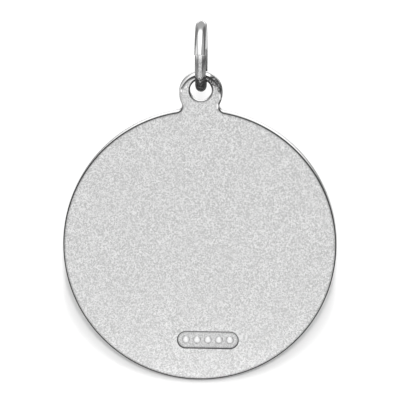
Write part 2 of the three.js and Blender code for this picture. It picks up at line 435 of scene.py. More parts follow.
def wire_silver():
    """Drawn wire: bright above the seam; scored below it, and painted darker there on the side towards
    the camera, most at the wire's sides, as painted shade and dark reflections over a duller finish;
    black at the bottom, tarnish with painted shade where the wire runs through the hole.
    """
    made = Finish("wire_silver")
    polished, satin = Vector(colours().polished), Vector(colours().satin)
    place = made.coordinates((0, 0, RING_Z))
    ring = RING_RADIUS / MM
    seam = ring * math.sin(ring_sizes().seam_angle)
    low = made.ramp(place["Z"], seam + WIRE_DARKENED[0], seam + WIRE_DARKENED[1], 1, 0)
    low = made.times(low, made.ramp(place["Y"], *WIRE_NEAR, 1, 0))
    scores = made.noise(0.09 * MM, detail=2, stretch=(1, 0.6, 0.35))
    scuff = made.noise(0.22 * MM, detail=3, roughness=0.65)
    # The black foot: tarnish, and painted shade where the wire lies in the ear's hole; it reaches higher
    # at the wire's sides.
    edge = made.times(made.maths("ABSOLUTE", place["X"]), -0.9)
    ragged = made.plus(made.vary(scuff, -0.25, 0.25), edge)
    height = made.plus(place["Z"], ragged)
    base = made.ramp(height, ring * WIRE_FOOT_BLACK[0], ring * WIRE_FOOT_BLACK[1], 1, 0)
    # Below the seam, on the side towards the camera, the wire is painted darker, most at its sides with a
    # lighter strip down its middle: painted shade and dark reflections over a duller, scored finish.
    side = made.ramp(made.maths("ABSOLUTE", place["X"]), 0.1, 0.26)
    tone = made.mix(made.vary(scores, 0, 0.1), colour(polished), colour(satin * 0.7))
    darkening = made.times(low, made.ramp(side, 0, 1, 0.35, 0.95))
    tone = made.mix(darkening, tone, colour(satin * 0.4))
    marks = made.times(low, made.ramp(scores, 0.45, 0.62, 0, 0.5))
    tone = made.mix(marks, tone, colour(satin * 0.3))
    specks = made.noise(0.11 * MM, detail=1)
    foot_black_share = made.times(base, made.ramp(specks, 0.48, 0.64, 1, 0.6))
    tone = made.mix(foot_black_share, tone, colour(colours().tarnish))
    made.metal(tone, made.larger(made.ramp(low, 0, 1, 0.12, 0.2), made.ramp(base, 0, 1, 0.1, 0.45)))
    made.bump(made.times(scores, made.ramp(low, 0, 1, 0.15, 1)), 0.008 * MM, 0.3)
    return made.material


# ---- Shapes that the medal's parts share ----


def clamp(value):
    return min(max(value, 0), 1)


def arc(centre, radius, start, end, steps, outward=1):
    """Points along an arc, without its last, each with the direction that points out of the metal."""
    made = []
    for step in range(steps):
        angle = start + (end - start) * step / steps
        direction = Vector((math.cos(angle), math.sin(angle)))
        made.append((Vector(centre) + radius * direction, outward * direction))
    return made


class Outline:
    """The medal's outline: the disc's arc, then a fillet, the ear and the other fillet."""

    def __init__(self):
        fillet, ear = sizes().neck_fillet, sizes().ear_radius
        to_disc, to_ear, rise = DISC_RADIUS + fillet, ear + fillet, ear_z()
        z = (to_disc**2 - to_ear**2 + rise**2) / (2 * rise)
        x = math.sqrt(to_disc**2 - z**2)
        self.low = math.atan2(z, x)
        high = math.atan2(rise - z, x)
        disc = arc((0, 0), DISC_RADIUS, math.pi - self.low, 2 * math.pi + self.low, DISC_STEPS)
        right = arc((x, z), fillet, math.pi + self.low, math.pi - high, FILLET_STEPS, -1)
        crest = arc((0, rise), ear, -high, math.pi + high, EAR_STEPS)
        left = arc((-x, z), fillet, high, -self.low, FILLET_STEPS, -1)
        self.points = disc + right + crest + left
        self.disc_count = len(disc)
        steps = [step / FILLET_STEPS for step in range(FILLET_STEPS)]
        self.on_ear = [0.0] * len(disc) + steps + [1.0] * len(crest) + [1 - s for s in steps]

    def wear(self, index):
        """Width and depth of the rounding at a point: the edge's own, or more on the ear's crest."""
        plain = sizes().edge_round
        point, _ = self.points[index]
        if not self.on_ear[index]:
            return plain, plain
        spoke = point - Vector((0, ear_z()))
        angle = math.atan2(spoke.y, spoke.x)
        inner = sizes().ear_radius + sizes().crest_shift - sizes().crest_round
        shift = sizes().crest_shift
        along = math.sqrt(max(inner**2 - (shift * math.cos(angle)) ** 2, 0)) - shift * math.sin(angle)
        width = sizes().ear_radius - along
        share = clamp((width - plain) / (sizes().crest_round - plain))
        width = plain + (sizes().crest_round - plain) * share
        depth = plain + (sizes().crest_depth - plain) * share
        return width, depth


class Shell:
    """A mesh that is grown as loops of points, with the numbers that the finish reads."""

    LAYERS = ("polish", "burr", "oxide")  # how polished; how black with the painted dark edge lines and painted shade; and how black with tarnish and, in the hole, painted shade

    def __init__(self):
        self.mesh = bmesh.new()
        self.layers = {name: self.mesh.verts.layers.float.new(name) for name in self.LAYERS}

    def loop(self, points, polish=0.0, burr=0.0, oxide=0.0):
        """One vertex for each (x, y, z), with its finish. A finish may be a number or a list."""
        made = []
        for index, point in enumerate(points):
            vertex = self.mesh.verts.new(point)
            for name, value in zip(self.LAYERS, (polish, burr, oxide)):
                vertex[self.layers[name]] = value[index] if isinstance(value, list) else value
            made.append(vertex)
        return made

    def bridge(self, first, second, closed=True, slot=0):
        """Quads between two loops of the same length."""
        count = len(first)
        for index in range(count if closed else count - 1):
            after = (index + 1) % count
            face = self.mesh.faces.new((first[index], first[after], second[after], second[index]))
            face.material_index = slot

    def skin(self, stack):
        """Quads from each closed loop of a stack to the next."""
        for first, second in zip(stack, stack[1:]):
            self.bridge(first, second)

    def fill(self, *loops, slot=0):
        """A flat sheet inside the first loop and outside the others."""
        edges = []
        for ring in loops:
            for index, vertex in enumerate(ring):
                after = ring[(index + 1) % len(ring)]
                pair = (vertex, after)
                edges.append(self.mesh.edges.get(pair) or self.mesh.edges.new(pair))
        done = bmesh.ops.triangle_fill(self.mesh, edges=edges, use_beauty=True)
        for item in done["geom"]:
            if isinstance(item, bmesh.types.BMFace):
                item.material_index = slot

    def finish(self, name, materials, sharp=35 * DEGREE):
        """The object, with its faces outwards and its place in its mesh."""
        bmesh.ops.recalc_face_normals(self.mesh, faces=self.mesh.faces)
        self.mesh.transform(Matrix.Translation((0, 0, DISC_Z)))
        data = bpy.data.meshes.new(name)
        self.mesh.to_mesh(data)
        self.mesh.free()
        return finished(name, data, materials, sharp)


def placed(name, data):
    """A new object in the scene."""
    made = bpy.data.objects.new(name, data)
    bpy.context.scene.collection.objects.link(made)
    return made


def finished(name, data, materials, sharp=35 * DEGREE):
    """An object for a mesh, shaded smooth up to the sharp edges."""
    data.materials.clear()
    for material in materials:
        data.materials.append(material)
    data.shade_smooth()
    data.set_sharp_from_angle(angle=sharp)
    return placed(name, data)


def quarter(steps=ROUND_STEPS):
    """Shares of a quarter round's width and depth, from the flat to the wall."""
    angles = [step / steps * math.pi / 2 for step in range(steps + 1)]
    return [(1 - math.sin(angle), 1 - math.cos(angle)) for angle in angles]


# ---- The struck blank ----

FLAT_MARGINS = (0.2 * MM, 0.1 * MM, 0.02 * MM)  # flat loops beside each rounding
FLAT_LINE_BLACK = (0.0, 0.2, 0.6)  # how black they are round the outline
CREST_LINE_BLACK = (0.1, 0.95, 1.0)  # and below the ear's worn crest
# In the hole the black is tarnish laid as painted shade, darkest at the top and faint at the bottom and
# right; the bright polished band at the top is a painted highlight.
HOLE_MARGINS = (  # flat loops round the hole: distance, polish, and how black above and below
    (0.22 * MM, 0.0, 0.0, 0.0),
    (0.13 * MM, 0.9, 0.0, 0.0),
    (0.06 * MM, 0.4, 0.95, 0.0),
    (0.015 * MM, 0.3, 1.0, 0.9),
)
HOLE_BEYOND = ((1.8, 0.9), (3.2, 0.1))  # loops in the hole: depth in roundings, and how black
PUNCH_ROUND = 0.035 * MM
# The punched bar's walls and its floor's edge are painted dark: painted shade in the recess.
PUNCH_SHADE = 0.95
PUNCH_FLOOR = ((0.02 * MM, PUNCH_SHADE), (0.1 * MM, 0.35), (0.22 * MM, 0.1))  # inset, and how black
EDGE_LINE_WIDTH = 0.085 * MM  # the dark line where the satin ends
WALL_LINE_BLACK = 0.75  # how black the line along the wall's front edge is
LINE_START = 0.6  # where it starts on the ear's wall, as a share of the wall
WALL_STEPS = 6
RIM_WALL = (  # loops up the rim's wall: share of its height, and of the line's black
    (0.25, 0.0),
    (0.5, 0.0),
    (0.65, 0.5),
    (0.8, 1.0),
)
FIELD_STEP = 0.13 * MM
SOOT_REACH = 0.32 * MM  # how far tarnish spreads over the field from the relief


def crown(y, on_ear=0.0):
    """How far the slightly bulging edge lies inside its own middle, at one depth."""
    middle = (RIM_Y + BACK_Y) / 2 * (1 - on_ear)
    half = ((RIM_Y - BACK_Y) * (1 - on_ear) + (EAR_FRONT_Y - BACK_Y) * on_ear) / 2
    return sizes().edge_crown * ((y - middle) / half) ** 2


def outer_ring(shell, outline, inward, places, **values):
    """A loop that follows the outline, set in by one list of distances, at the depths of another."""
    points = []
    for (point, normal), inset, y in zip(outline.points, inward, places):
        place = point - normal * inset
        points.append((place.x, y, place.y))
    return shell.loop(points, **values)


def hole_ring(shell, radius, y, **values):
    """A loop about the hole's centre."""
    points = []
    for step in range(HOLE_STEPS):
        angle = 2 * math.pi * step / HOLE_STEPS
        points.append((radius * math.cos(angle), y, hole_z() + radius * math.sin(angle)))
    return shell.loop(points, **values)


def hole_wall(shell):
    """The hole through the ear. Returns its loops on the back's flat and on the front's."""
    radius, soft = sizes().hole_radius, sizes().hole_round
    heights = [math.sin(2 * math.pi * step / HOLE_STEPS) for step in range(HOLE_STEPS)]
    sides = [math.cos(2 * math.pi * step / HOLE_STEPS) for step in range(HOLE_STEPS)]
    # How far each place is the hole's bottom, its top, and the right side, where the black is fainter:
    # painted shade over the tarnish, darkest at the top and lighter at the bottom and right.
    foot = [clamp(-1.4 * height - 0.3) for height in heights]
    arch = [clamp(2 * height + 0.5 * side - 0.2) for height, side in zip(heights, sides)]
    right = [0.2 * max(side, 0) * (1 - high) for side, high in zip(sides, arch)]
    loops = []
    for face_y, inward in ((BACK_Y, 1), (EAR_FRONT_Y, -1)):
        stack = []
        for margin, bright, above, below in HOLE_MARGINS:
            black = [above * high + below * (1 - high) for high in arch]
            spread = radius + soft + margin
            shine = [bright * high for high in arch]
            stack.append(hole_ring(shell, spread, face_y, polish=shine, oxide=black))
        for width, depth in quarter():
            black = [
                clamp((1.2 - 0.25 * low - width) * 4) * (1 - 0.2 * low - fade)
                for low, fade in zip(foot, right)
            ]
            y = face_y + inward * soft * depth
            stack.append(hole_ring(shell, radius + soft * width, y, polish=0.9, oxide=black))
        for beyond, share in HOLE_BEYOND:
            black = [share * (1 - 0.6 * low) for low in foot]
            y = face_y + inward * soft * beyond
            stack.append(hole_ring(shell, radius, y, polish=0.9, oxide=black))
        loops.append(stack)
    back, front = loops
    shell.skin(back)
    shell.skin(front)
    shell.bridge(back[-1], front[-1])
    return back[0], front[0]


def punch_loop(shell, spread, y, **values):
    """The punched bar's outline, widened by the spread."""
    end = relief().punch_width / 2
    reach = relief().punch_length / 2 - end
    middle = relief().punch_rise - DISC_RADIUS
    round_ends = []
    for way, start in ((-1, math.pi / 2), (1, -math.pi / 2)):
        centre = (relief().punch_side + way * reach, middle)
        round_ends += arc(centre, end + spread, start, start + math.pi, PUNCH_END_STEPS)
    return shell.loop([(point.x, y, point.y) for point, _ in round_ends], **values)


def punched_bar(shell):
    """The sunk bar's walls and floor, with painted shade on its walls and at the edge of its floor.
    Returns its loop on the back's flat.
    """
    depth = relief().punch_depth
    stack = [punch_loop(shell, PUNCH_ROUND + FLAT_MARGINS[-1], BACK_Y)]
    stack.append(punch_loop(shell, PUNCH_ROUND, BACK_Y, burr=0.1))
    for width, sunk in quarter(3)[1:]:
        y = BACK_Y + PUNCH_ROUND * sunk
        stack.append(punch_loop(shell, PUNCH_ROUND * width, y, polish=0.6, burr=PUNCH_SHADE))
    for inset, burr in PUNCH_FLOOR:
        stack.append(punch_loop(shell, -inset, BACK_Y + depth, burr=burr))
    shell.skin(stack)
    shell.fill(stack[-1])
    return stack[0]


def line_black(point):
    """How black the painted line where the satin ends is: painted lighter on the ear's left flank, the
    side the light comes from.
    """
    flank = clamp((-point.x / MM - 1.2) / 0.6)
    low = clamp((hole_z() + 0.5 * MM - point.y) / (0.6 * MM))
    high = clamp((point.y - ear_z()) / (0.5 * MM) + 3.0)
    return 1 - 0.65 * flank * low * high


def back_face(shell, outline, wear):
    """The satin back and its rounded edge. Returns its loops beside the flat and at the wall."""
    # A dark line is painted where the satin ends, reaching a little onto the flat.
    black = [line_black(point) for point, _ in outline.points]
    plain, most = sizes().edge_round, sizes().crest_round
    worn = [(width - plain) / (most - plain) for width, _ in wear]
    ends = [crown(BACK_Y + depth, part) for (_, depth), part in zip(wear, outline.on_ear)]
    flat = [BACK_Y] * len(wear)
    stack = []
    for margin, edge, crest in zip(FLAT_MARGINS, FLAT_LINE_BLACK, CREST_LINE_BLACK):
        inward = [width + end + margin for (width, _), end in zip(wear, ends)]
        burr = [value * (edge + (crest - edge) * part) for value, part in zip(black, worn)]
        stack.append(outer_ring(shell, outline, inward, flat, burr=burr))
    for across, down in quarter():
        inward = [width * across + end for (width, _), end in zip(wear, ends)]
        places = [BACK_Y + depth * down for _, depth in wear]
        reach = [EDGE_LINE_WIDTH * (1 - 0.7 * part) for part in worn]
        near = [width * (1 - across) < limit for (width, _), limit in zip(wear, reach)]
        burr = [value if close else 0.0 for value, close in zip(black, near)]
        polish = 0.3 if across == 1 else 1.0
        stack.append(outer_ring(shell, outline, inward, places, polish=polish, burr=burr))
    shell.skin(stack)
    return stack[0], stack[-1]


def ear_front(shell, outline, wear, wall, hole):
    """The ear's front, from the wall's loop round it to the disc's wall. Returns the arc at its root."""
    count = outline.disc_count
    ends = [crown(EAR_FRONT_Y, part) for part in outline.on_ear]
    right, left = wall[count], wall[0]  # where the ear's wall runs into the disc's
    order = range(count + 1, len(outline.points))
    share = [math.sqrt(value) for value in outline.on_ear]
    stack = [[wall[index] for index in order]]
    for across, down in list(reversed(quarter()))[1:] + [(None, 0)]:
        points = []
        for index in order:
            (point, normal), (width, depth) = outline.points[index], wear[index]
            inset = width + FLAT_MARGINS[-1] if across is None else width * across
            place = point - normal * (inset * share[index] + ends[index])
            points.append((place.x, EAR_FRONT_Y - depth * down * share[index], place.y))
        stack.append(shell.loop(points, polish=0.0 if across is None else 1.0))
    for first, second in zip(stack, stack[1:]):
        shell.bridge(first, second, closed=False)
        shell.mesh.faces.new((right, first[0], second[0]))
        shell.mesh.faces.new((left, second[-1], first[-1]))
    root = []
    for step in range(1, ROOT_STEPS):
        angle = outline.low + (math.pi - 2 * outline.low) * step / ROOT_STEPS
        radius = DISC_RADIUS - ends[0]
        root.append((radius * math.cos(angle), EAR_FRONT_Y, radius * math.sin(angle)))
    root = shell.loop(root, polish=0.5, burr=0.4)
    shell.fill([right, *stack[-1], left, *reversed(root)], hole)
    return root


def relief_tree():
    """A search tree of the relief's pieces that are in the scene, about the disc's centre."""
    whole = bmesh.new()
    for name in ("cross", "rays", "beads"):
        if name in bpy.data.objects:
            whole.from_mesh(bpy.data.objects[name].data)
    whole.transform(Matrix.Translation((0, 0, -DISC_Z)))
    tree = BVHTree.FromBMesh(whole) if whole.faces else None
    whole.free()
    return tree


def soot(tree, point):
    """Tarnish on the field at a point: most in the corner beside the relief."""
    if tree is None:
        return 0.0
    near = tree.find_nearest(point)[3]
    return 0.8 * max(1 - near / SOOT_REACH, 0) ** 1.5


def rim_and_field(shell, circle):
    """The rim, from the disc's wall over to its foot, and the flat field inside it."""
    spokes = [Vector((vertex.co.x, vertex.co.z)).normalized() for vertex in circle]
    stack = [circle]

    def step(radius, y, **values):
        stack.append(shell.loop([(radius * spoke.x, y, radius * spoke.y) for spoke in spokes], **values))

    soft, top, foot = sizes().edge_round, DISC_RADIUS - sizes().rim_width, field_radius()
    start = RIM_Y - soft
    # The painted dark line runs on up the rim's wall and over its rounding.
    for part, line_share in RIM_WALL:
        y = EAR_FRONT_Y + (start - EAR_FRONT_Y) * part
        step(DISC_RADIUS - crown(y), y, polish=1.0, burr=WALL_LINE_BLACK * line_share)
    for across, down in reversed(quarter()):
        inner = DISC_RADIUS - crown(start) - soft * across
        step(inner, RIM_Y - soft * down, polish=1.0, burr=WALL_LINE_BLACK * (1 - across))
    for radius, y, polish, burr in (  # over the rim's top and down to the field
        ((DISC_RADIUS + top) / 2, RIM_Y, 1.0, 0.0),
        (top + 0.08 * MM, RIM_Y - 0.02 * MM, 1.0, 0.0),
        (top + 0.02 * MM, RIM_Y - 0.04 * MM, 1.0, 0.0),
        (top - 0.02 * MM, RIM_Y - 0.1 * MM, 1.0, 0.0),
        (foot + 0.03 * MM, field_y() + 0.06 * MM, 1.0, 0.2),
        (foot, field_y() + 0.01 * MM, 0.4, 0.6),
    ):
        step(radius, y, polish=polish, burr=burr)
    ground = len(stack)
    tree = relief_tree()
    radius = foot - 0.05 * MM
    while radius > 0.2 * MM:
        places = [Vector((radius * spoke.x, field_y(), radius * spoke.y)) for spoke in spokes]
        step(radius, field_y(), oxide=[soot(tree, place) for place in places])
        radius -= FIELD_STEP
    for index, (first, second) in enumerate(zip(stack, stack[1:])):
        shell.bridge(first, second, slot=1 if index >= ground else 0)
    shell.fill(stack[-1], slot=1)


def medal_blank():
    """The disc with its ear: one closed shell, with the relief's ground and the punched bar."""
    outline = Outline()
    shell = Shell()
    wear = [outline.wear(index) for index in range(len(outline.points))]
    flat, edge = back_face(shell, outline, wear)
    hole_back, hole_front = hole_wall(shell)
    bar = punched_bar(shell)
    shell.fill(flat, hole_back, bar)

    # The wall: to the foot of the ear's rounded front edge, and as far round the disc.
    wall = edge
    for step in range(1, WALL_STEPS + 1):
        places, inward = [], []
        for (_, depth), part in zip(wear, outline.on_ear):
            start, end = BACK_Y + depth, EAR_FRONT_Y - depth * math.sqrt(part)
            places.append(start + (end - start) * step / WALL_STEPS)
            inward.append(crown(EAR_FRONT_Y if step == WALL_STEPS else places[-1], part))
        # On the ear, a dark line is painted along the wall's front edge.
        line = WALL_LINE_BLACK * max(step / WALL_STEPS - LINE_START, 0) / (1 - LINE_START)
        line_share = [line * part for part in outline.on_ear]
        loop = outer_ring(shell, outline, inward, places, polish=1.0, burr=line_share)
        shell.bridge(wall, loop)
        wall = loop
    root = ear_front(shell, outline, wear, wall, hole_front)
    rim_and_field(shell, wall[: outline.disc_count + 1] + root)
    return shell.finish("medal_blank", [blank_silver(), field_silver()])


# ---- The cross ----

CROSS_STEPS = (  # inset from the outline and height, as shares of the sloping edge and of the height
    (0.0, -0.6),
    (0.0, 0.0),
    (0.04, 0.1),
    (0.86, 0.88),
    (0.96, 0.97),
    (1.08, 1.0),
    (1.42, 1.0),
    (1.5, 0.97),
    (1.6, 0.85),
    (1.68, 0.83),
)


def inset_corners(corners, distance):
    """A closed outline's corners moved inwards, each along its mitre."""
    made = []
    for index, corner in enumerate(corners):
        before = (corner - corners[index - 1]).normalized()
        after = (corners[(index + 1) % len(corners)] - corner).normalized()
        inward = Vector((-before.y, before.x)) + Vector((-after.y, after.x))
        reach = 2 * distance / inward.length_squared
        made.append(corner + inward * reach)
    return made


def cross():
    """A Latin cross with flared ends, sloping edges and a sunk satin panel along each arm."""
    half = relief().cross_width / 2
    end, arm = half + relief().cross_flare, relief().cross_arm
    plan = [(end, relief().cross_top), (-end, relief().cross_top), (-half, half)]
    plan += [(-arm, end), (-arm, -end), (-half, -half)]
    plan += [(-end, -relief().cross_foot), (end, -relief().cross_foot), (half, -half)]
    plan += [(arm, -end), (arm, end), (half, half)]
    corners = [Vector(corner) + Vector((0, relief().crossing_rise)) for corner in plan]
    shell = Shell()
    stack = []
    for across, up in CROSS_STEPS:
        outline = inset_corners(corners, relief().cross_bevel * across)
        y = field_y() + relief().cross_height * up
        stack.append(shell.loop([(point.x, y, point.y) for point in outline]))
    shell.fill(stack[0])
    for index, (first, second) in enumerate(zip(stack, stack[1:])):
        shell.bridge(first, second, slot=1 if index >= len(stack) - 3 else 0)
    shell.fill(stack[-1], slot=1)
    return shell.finish("cross", [relief_silver(), field_silver()], 25 * DEGREE)


# ---- What repeats, and the wire: grown by Geometry Nodes ----

DOME_FINENESS = 4
BEAD_WAVER = (0.96, 1.03)  # least and greatest size of a bead, as a share
BEAD_SEED = 7


class Recipe(Nodes):
    """A Geometry Nodes tree with named sizes, which is run once and leaves a plain mesh."""

    def __init__(self, name):
        super().__init__(bpy.data.node_groups.new(name, "GeometryNodeTree"))
        self.name = name
        self.inlet = self.node("NodeGroupInput")
        self.outlet = self.node("NodeGroupOutput")
        self.tree.interface.new_socket("Carrier", in_out="INPUT", socket_type="NodeSocketGeometry")
        self.tree.interface.new_socket("Piece", in_out="OUTPUT", socket_type="NodeSocketGeometry")
        self.values = {}

    def size(self, name, value, kind="NodeSocketFloat"):
        """A named input of the tree, with the value that the modifier gives it."""
        socket = self.tree.interface.new_socket(name, in_out="INPUT", socket_type=kind)
        self.values[socket.identifier] = value
        return next(out for out in self.inlet.outputs if out.identifier == socket.identifier)

    def vector(self, x, y, z):
        return self.node("ShaderNodeCombineXYZ", {"X": x, "Y": y, "Z": z}).outputs[0]

    def index(self):
        return self.node("GeometryNodeInputIndex").outputs[0]

    def points(self, count, place):
        return self.node("GeometryNodePoints", {"Count": count, "Position": place}).outputs[0]

    def ball(self):
        fed = {"Radius": 1.0, "Subdivisions": DOME_FINENESS}
        return self.node("GeometryNodeMeshIcoSphere", fed).outputs["Mesh"]

    def spread(self, points, piece, scale, rotation=(0, 0, 0)):
        fed = {"Points": points, "Instance": piece, "Scale": scale, "Rotation": rotation}
        return self.node("GeometryNodeInstanceOnPoints", fed).outputs[0]

    def run(self, geometry, material, carrier=None, sharp=35 * DEGREE):
        """Runs the tree once, and returns its piece with its place in its mesh."""
        whole = self.node("GeometryNodeRealizeInstances", {"Geometry": geometry}).outputs[0]
        painted = self.node("GeometryNodeSetMaterial", {"Geometry": whole, "Material": material})
        self.feed(painted.outputs[0], self.outlet.inputs["Piece"])
        made = placed(self.name, carrier or bpy.data.meshes.new(self.name + "_carrier"))
        modifier = made.modifiers.new(self.name, "NODES")
        modifier.node_group = self.tree
        for identifier, value in self.values.items():
            modifier[identifier] = value
        depsgraph = bpy.context.evaluated_depsgraph_get()
        grown = bpy.data.meshes.new_from_object(made.evaluated_get(depsgraph), depsgraph=depsgraph)
        if not grown.polygons:
            raise RuntimeError(f"{self.name}: its tree made no faces")
        bpy.data.objects.remove(made)
        return finished(self.name, grown, [material], sharp)


def beads():
    """A string of domes round the field's edge, each a little unlike the next."""
    radius, high = relief().bead_diameter / 2, relief().bead_height
    pitch_radius = field_radius() - relief().bead_margin - radius
    recipe = Recipe("beads")
    number = round(2 * math.pi * pitch_radius / relief().bead_pitch)
    count = recipe.size("Count", number, "NodeSocketInt")
    pitch = recipe.size("Pitch radius", pitch_radius)
    across = recipe.size("Bead radius", radius)
    up = recipe.size("Bead half height", high * 1.25)
    ground = recipe.size("Depth of centres", field_y() - high / 4)
    middle = recipe.size("Height of the disc's centre", DISC_Z)
    step = recipe.over(2 * math.pi, count)
    turn = recipe.times(recipe.plus(recipe.index(), 0.5), step)
    x = recipe.times(recipe.maths("SINE", turn), pitch)
    z = recipe.plus(recipe.times(recipe.maths("COSINE", turn), pitch), middle)
    points = recipe.points(count, recipe.vector(x, ground, z))
    uneven = recipe.node("FunctionNodeRandomValue", data_type="FLOAT")
    for socket, value in ((2, BEAD_WAVER[0]), (3, BEAD_WAVER[1]), ("Seed", BEAD_SEED)):
        recipe.feed(value, uneven.inputs[socket])
    wide = recipe.times(across, uneven.outputs[1])
    scale = recipe.vector(wide, recipe.times(up, uneven.outputs[1]), wide)
    return recipe.run(recipe.spread(points, recipe.ball(), scale), relief_silver())


RAY_ANGLES = (12, 23, 34, 45, 56, 67, 78)  # degrees from each arm to the next
RAY_SHARES = (0.66, 0.84, 0.72, 1, 0.72, 0.84, 0.66)


def rays():
    """Pointed rays that fan out from the crossing, in the four quarters between the arms."""
    carrier = bpy.data.meshes.new("ray_points")
    start = (0, field_y(), DISC_Z + relief().crossing_rise)
    carrier.from_pydata([start] * (4 * len(RAY_ANGLES)), [], [])
    turns = [(90 * part + angle) * DEGREE for part in range(4) for angle in RAY_ANGLES]
    for name, values in (("turn", turns), ("share", RAY_SHARES * 4)):
        carrier.attributes.new(name, "FLOAT", "POINT").data.foreach_set("value", values)
    recipe = Recipe("rays")
    reach = recipe.size("Reach", relief().ray_reach)
    width = recipe.size("Width", relief().ray_width)
    height = recipe.size("Height", relief().ray_height)
    turn = recipe.node("GeometryNodeInputNamedAttribute", {"Name": "turn"}).outputs[0]
    share = recipe.node("GeometryNodeInputNamedAttribute", {"Name": "share"}).outputs[0]
    spindle = recipe.node("GeometryNodeMeshUVSphere", {"Segments": 4, "Rings": 2, "Radius": 1.0})
    spindle = recipe.node(
        "GeometryNodeTransform", {"Geometry": spindle.outputs["Mesh"], "Translation": (1, 0, 0)}
    )
    half = recipe.times(recipe.times(reach, share), 0.5)
    scale = recipe.vector(half, height, recipe.times(width, 0.5))
    rotation = recipe.vector(0.0, turn, 0.0)
    spread = recipe.spread(recipe.inlet.outputs[0], spindle.outputs[0], scale, rotation)
    return recipe.run(spread, relief_silver(), carrier, 20 * DEGREE)


def pips():
    """A row of low domes left standing in the punched bar, flush with the back."""
    end = relief().punch_width / 2
    recipe = Recipe("pips")
    count = recipe.size("Count", relief().pip_count, "NodeSocketInt")
    reach = recipe.size("Reach", relief().punch_length / 2 - end)
    across = recipe.size("Pip radius", relief().pip_diameter / 2)
    up = recipe.size("Pip height", relief().punch_depth * 0.97)
    side = recipe.size("Middle beside the disc's", relief().punch_side)
    ground = recipe.size("Depth of the bar's floor", BACK_Y + relief().punch_depth)
    middle = recipe.size("Height of the row", DISC_Z - DISC_RADIUS + relief().punch_rise)
    last = recipe.minus(count, 1.0)
    share = recipe.minus(recipe.over(recipe.times(recipe.index(), 2.0), last), 1.0)  # -1 to 1
    x = recipe.plus(side, recipe.times(reach, share))
    points = recipe.points(count, recipe.vector(x, ground, middle))
    spread = recipe.spread(points, recipe.ball(), recipe.vector(across, up, across))
    return recipe.run(spread, pip_silver())


def jump_ring():
    """Round wire bent to a circle through the ear, with its two cut ends almost meeting."""
    wire = ring_sizes().wire_diameter / 2
    mean = RING_RADIUS - wire
    recipe = Recipe("jump_ring_wire")
    radius = recipe.size("Mean radius", mean)
    thick = recipe.size("Wire radius", wire)
    gap = recipe.size("Seam angle", ring_sizes().seam_gap / mean)
    start = recipe.size("Start angle", -ring_sizes().seam_angle)
    miss = recipe.size("Seam offset", ring_sizes().seam_offset)
    middle = recipe.size("Height of the ring's centre", RING_Z)
    line = recipe.node("GeometryNodeCurvePrimitiveLine", {"Start": (0, 0, 0), "End": (0, 0, 1)})
    fed = {"Curve": line.outputs[0], "Count": WIRE_STEPS + 1}
    line = recipe.node("GeometryNodeResampleCurve", fed).outputs[0]
    share = recipe.node("GeometryNodeSplineParameter").outputs["Factor"]
    sweep = recipe.minus(2 * math.pi, gap)
    angle = recipe.plus(recipe.times(gap, 0.5), recipe.times(share, sweep))
    angle = recipe.plus(angle, start)
    inward = recipe.times(radius, -1.0)
    x = recipe.times(miss, recipe.minus(0.5, share))
    y = recipe.times(inward, recipe.maths("COSINE", angle))
    z = recipe.plus(recipe.times(inward, recipe.maths("SINE", angle)), middle)
    loop = recipe.node("GeometryNodeSetPosition", {"Geometry": line, "Position": recipe.vector(x, y, z)})
    fed = {"Resolution": WIRE_SIDES, "Radius": thick}
    section = recipe.node("GeometryNodeCurvePrimitiveCircle", fed)
    fed = {"Curve": loop.outputs[0], "Profile Curve": section.outputs[0], "Fill Caps": True}
    return recipe.run(recipe.node("GeometryNodeCurveToMesh", fed).outputs[0], wire_silver())


# ---- The stage ----

CAMERA_AZIMUTH = 2.0 * DEGREE
CAMERA_ELEVATION = 9.8 * DEGREE
CAMERA_ROLL = 0.38 * DEGREE
CAMERA_DISTANCE = 0.6
SENSOR_WIDTH = 36  # in millimetres, as the lens is
VIEW_WIDTH = 0.03643  # how much of the scene the picture is wide
AIM = Vector((0.0, -0.0006, -0.01542))


def camera():
    """A long lens a little above the pendant, nearly square on to its back."""
    data = bpy.data.cameras.new("camera")
    data.sensor_width = SENSOR_WIDTH
    data.lens = SENSOR_WIDTH * CAMERA_DISTANCE / VIEW_WIDTH
    made = placed("camera", data)
    flat = math.cos(CAMERA_ELEVATION)
    x, y = math.sin(CAMERA_AZIMUTH) * flat, -math.cos(CAMERA_AZIMUTH) * flat
    back = Vector((x, y, math.sin(CAMERA_ELEVATION)))
    turn = back.to_track_quat("Z", "Y").to_matrix() @ Matrix.Rotation(CAMERA_ROLL, 3, "Z")
    made.matrix_world = Matrix.Translation(AIM + back * CAMERA_DISTANCE) @ turn.to_4x4()
    bpy.context.scene.camera = made


KEY_PLACE, KEY_AIM = (0.02, -0.22, 0.24), (0, 0, -0.02)
KEY_SIDE, KEY_WATTS = 0.22, 0.2


def soft_light(name, place, aim, width, height, watts):
    """A rectangular soft box that faces the point it is aimed at."""
    data = bpy.data.lights.new(name, "AREA")
    data.shape = "RECTANGLE"
    data.size, data.size_y = width, height
    data.energy = watts
    made = placed(name, data)
    away = Vector(place) - Vector(aim)
    made.matrix_world = Matrix.Translation(place) @ away.to_track_quat("Z", "Y").to_matrix().to_4x4()
    made.visible_camera = False
    return made


STUDIO_HEIGHTS = (  # height round the studio in degrees, 0 in front, 180 behind; and brightness there
    (-90, 0.75),
    (-30, 0.95),
    (0, 1.1),
    (60, 1.25),
    (98, 1.3),
    (112, 0.45),
    (170, 0.38),
    (177, 0.3),
)


